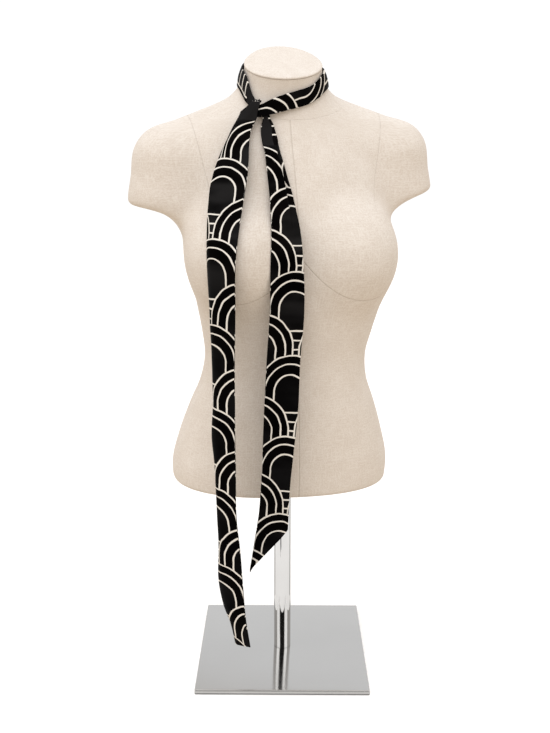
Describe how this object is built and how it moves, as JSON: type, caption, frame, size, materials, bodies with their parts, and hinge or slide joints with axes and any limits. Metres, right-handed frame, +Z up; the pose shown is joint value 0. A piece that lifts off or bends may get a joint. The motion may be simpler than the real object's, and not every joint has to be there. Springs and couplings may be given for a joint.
{
  "type": "skinny scarf on a dress form stand",
  "caption": "Long narrow printed scarf, looped and tied at the neck of a sleeveless linen dress form, its uneven tails hanging in front; round pole on a square flat base.",
  "frame": {"origin": "centre of the base plate's underside, on the floor and on the pole's axis", "axes": "+Z up along the pole, -Y towards a viewer in front; the plate is square to X and Y, and the form's front is turned 12 degrees from -Y towards +X"},
  "size_m": [0.4212, 0.3033, 0.9075],
  "materials": {
    "scarf_satin": "matt satin, black with thin off-white lines",
    "form_linen": "plain woven linen",
    "pole_chrome": "polished",
    "plate_steel": "polished"
  },
  "bodies": {
    "root": {"tail_left": "scarf_satin", "tail_right": "scarf_satin", "neck_left": "scarf_satin", "neck_right": "scarf_satin", "form_torso": "form_linen", "neck_cap": "form_linen", "pole": "pole_chrome", "base_plate": "plate_steel"}
  },
  "joints": []
}
